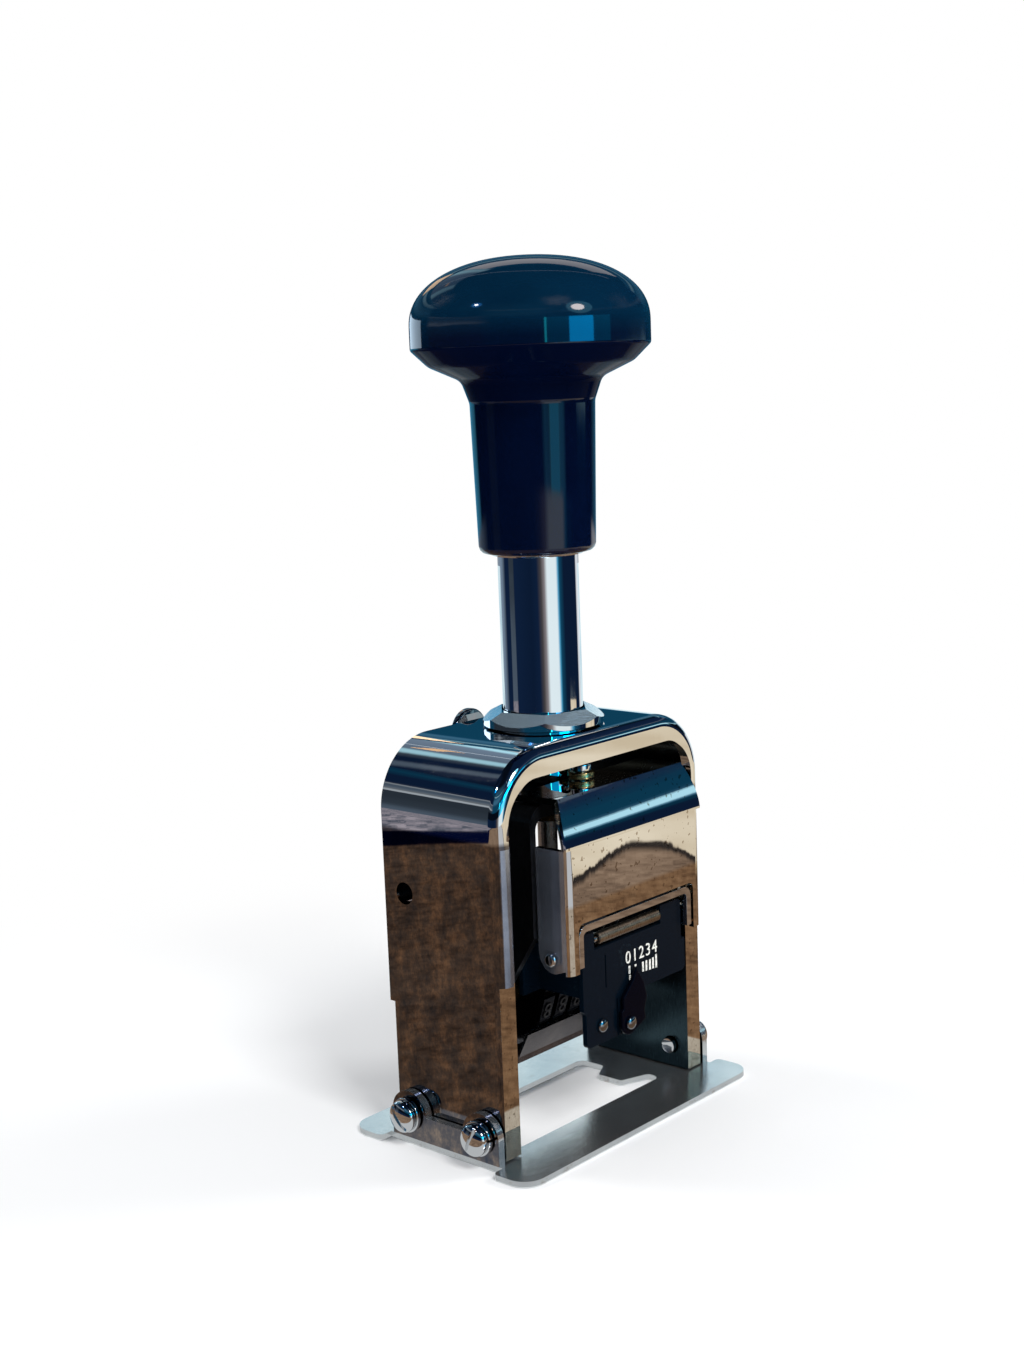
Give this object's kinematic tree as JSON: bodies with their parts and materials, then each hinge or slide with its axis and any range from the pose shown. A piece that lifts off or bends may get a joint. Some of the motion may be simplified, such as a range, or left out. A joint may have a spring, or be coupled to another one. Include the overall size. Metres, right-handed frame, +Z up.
{
  "type": "numbering machine",
  "caption": "Self-inking numbering machine: a knob on a sprung plunger drives a carriage of number wheels down through a chromed arch onto the paper under a slotted base plate",
  "frame": {"origin": "middle of the base plate's underside, where the paper lies", "axes": "+Z up along the plunger, +X to the machine's right, the front with the setting plate faces -Y"},
  "size_m": [0.0706, 0.045, 0.1628],
  "materials": {
    "chrome": "polished chrome plate",
    "satin_steel": "worn nickelled steel with fine scratches",
    "dark_steel": "dark blued steel",
    "black_paint": "satin black enamel on sheet steel",
    "knob_plastic": "glossy black moulded plastic",
    "brass": "plain brass",
    "type_metal": "ground steel",
    "felt": "felt soaked with black ink",
    "spring_steel": "spring steel"
  },
  "bodies": {
    "frame": {"base_plate": "satin_steel", "base_screw_front_left": "chrome", "base_screw_rear_left": "chrome", "base_screw_front_right": "chrome", "base_screw_rear_right": "chrome", "base_washer_front_left": "chrome", "base_washer_rear_left": "chrome", "base_washer_front_right": "chrome", "base_washer_rear_right": "chrome", "outer_frame": "chrome", "collar_nut": "chrome", "cross_bar": "dark_steel", "spring_rod": "satin_steel", "return_spring": "spring_steel"},
    "carriage": {"plunger": "chrome", "knob": "knob_plastic", "knob_ferrule": "chrome", "carriage_frame": "dark_steel", "plunger_washer": "satin_steel", "plunger_nut": "brass", "front_cover": "chrome", "cover_washer": "brass", "cover_screw": "chrome", "bail_pivot_left": "chrome", "bail_pivot_right": "chrome", "setting_plate": "black_paint", "roller_pin": "chrome", "pointer_rivet": "chrome", "tab_rivet": "chrome", "wheel_axle": "satin_steel", "wheel_axle_clip": "dark_steel", "pawl_shaft": "satin_steel", "pawl_shaft_clip": "dark_steel", "wheel_spacer_left": "brass", "wheel_spacer_right": "brass", "detent_comb": "spring_steel"},
    "ink_pad": {"ink_pad_holder": "satin_steel", "ink_pad": "felt"},
    "feed_pawl": {"feed_pawl": "dark_steel"},
    "bail": {"bail": "chrome"},
    "pointer": {"pointer": "black_paint"},
    "roller": {"roller": "type_metal"},
    "lock_button": {"lock_button": "dark_steel"},
    "number_wheel_1": {"number_wheel_1": "type_metal"},
    "number_wheel_2": {"number_wheel_2": "type_metal"},
    "number_wheel_3": {"number_wheel_3": "type_metal"},
    "number_wheel_4": {"number_wheel_4": "type_metal"},
    "number_wheel_5": {"number_wheel_5": "type_metal"},
    "number_wheel_6": {"number_wheel_6": "type_metal"}
  },
  "joints": [
    {"name": "plunger_slide", "type": "slide", "parent": "frame", "child": "carriage", "axis": [0, 0, -1], "range_m": [0, 0.0175], "stiffness_N_per_m": 500, "springref_m": -0.02, "deforming": ["return_spring"]},
    {"name": "ink_pad_swing", "type": "hinge", "parent": "carriage", "child": "ink_pad", "pos_m": [0, 0, 0.0267], "axis": [1, 0, 0], "range_deg": [0, 90]},
    {"name": "feed_pawl_swing", "type": "hinge", "parent": "carriage", "child": "feed_pawl", "pos_m": [0, 0.0086, 0.0416], "axis": [1, 0, 0], "range_deg": [0, 4]},
    {"name": "bail_swing", "type": "hinge", "parent": "carriage", "child": "bail", "pos_m": [0, -0.0174, 0.0376], "axis": [1, 0, 0], "range_deg": [0, 50]},
    {"name": "pointer_setting", "type": "hinge", "parent": "carriage", "child": "pointer", "pos_m": [-0.0026, -0.0206, 0.0214], "axis": [0, 1, 0], "range_deg": [-15, 21]},
    {"name": "roller_spin", "type": "hinge", "parent": "carriage", "child": "roller", "pos_m": [0, -0.0194, 0.0393], "axis": [1, 0, 0], "continuous": true},
    {"name": "lock_button_push", "type": "slide", "parent": "frame", "child": "lock_button", "axis": [0, -1, 0], "range_m": [0, 0.0022]},
    {"name": "number_wheel_1_turn", "type": "hinge", "parent": "carriage", "child": "number_wheel_1", "pos_m": [-0.01305, 0, 0.0267], "axis": [1, 0, 0], "continuous": true},
    {"name": "number_wheel_2_turn", "type": "hinge", "parent": "carriage", "child": "number_wheel_2", "pos_m": [-0.00865, 0, 0.0267], "axis": [1, 0, 0], "continuous": true},
    {"name": "number_wheel_3_turn", "type": "hinge", "parent": "carriage", "child": "number_wheel_3", "pos_m": [-0.00425, 0, 0.0267], "axis": [1, 0, 0], "continuous": true},
    {"name": "number_wheel_4_turn", "type": "hinge", "parent": "carriage", "child": "number_wheel_4", "pos_m": [0.00015, 0, 0.0267], "axis": [1, 0, 0], "continuous": true},
    {"name": "number_wheel_5_turn", "type": "hinge", "parent": "carriage", "child": "number_wheel_5", "pos_m": [0.00455, 0, 0.0267], "axis": [1, 0, 0], "continuous": true},
    {"name": "number_wheel_6_turn", "type": "hinge", "parent": "carriage", "child": "number_wheel_6", "pos_m": [0.00895, 0, 0.0267], "axis": [1, 0, 0], "continuous": true}
  ],
  "couplings": [
    {"joint": "ink_pad_swing", "follows": "plunger_slide", "rad_per_m": 89.76},
    {"joint": "feed_pawl_swing", "follows": "plunger_slide", "rad_per_m": 3.9893}
  ]
}
